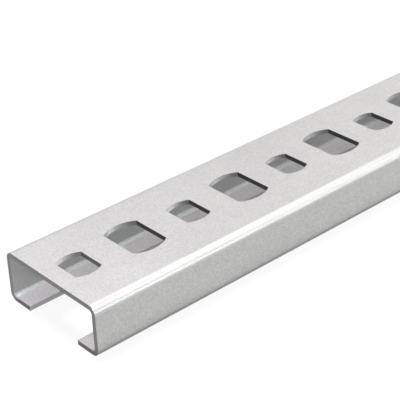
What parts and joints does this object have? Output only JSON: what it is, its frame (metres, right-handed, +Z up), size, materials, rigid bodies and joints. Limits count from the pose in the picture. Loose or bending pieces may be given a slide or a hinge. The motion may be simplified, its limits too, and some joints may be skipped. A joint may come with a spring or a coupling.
{
  "type": "slotted strut channel",
  "caption": "Light C-section channel of zinc-coated sheet steel, with small and large flat-sided holes taking turns along its web and a slot between its turned-in lips.",
  "frame": {"origin": "under the middle of the bar, on its centre line, level with the undersides of the lips", "axes": "+X along the bar, +Z up through the web, +Y towards the left wall"},
  "size_m": [0.2, 0.02, 0.008],
  "materials": {
    "zinc_coated_steel": "zinc-coated strip, pale matt grey, bare at the sheared edges"
  },
  "bodies": {
    "root": {"strut_channel": "zinc_coated_steel"}
  },
  "joints": []
}
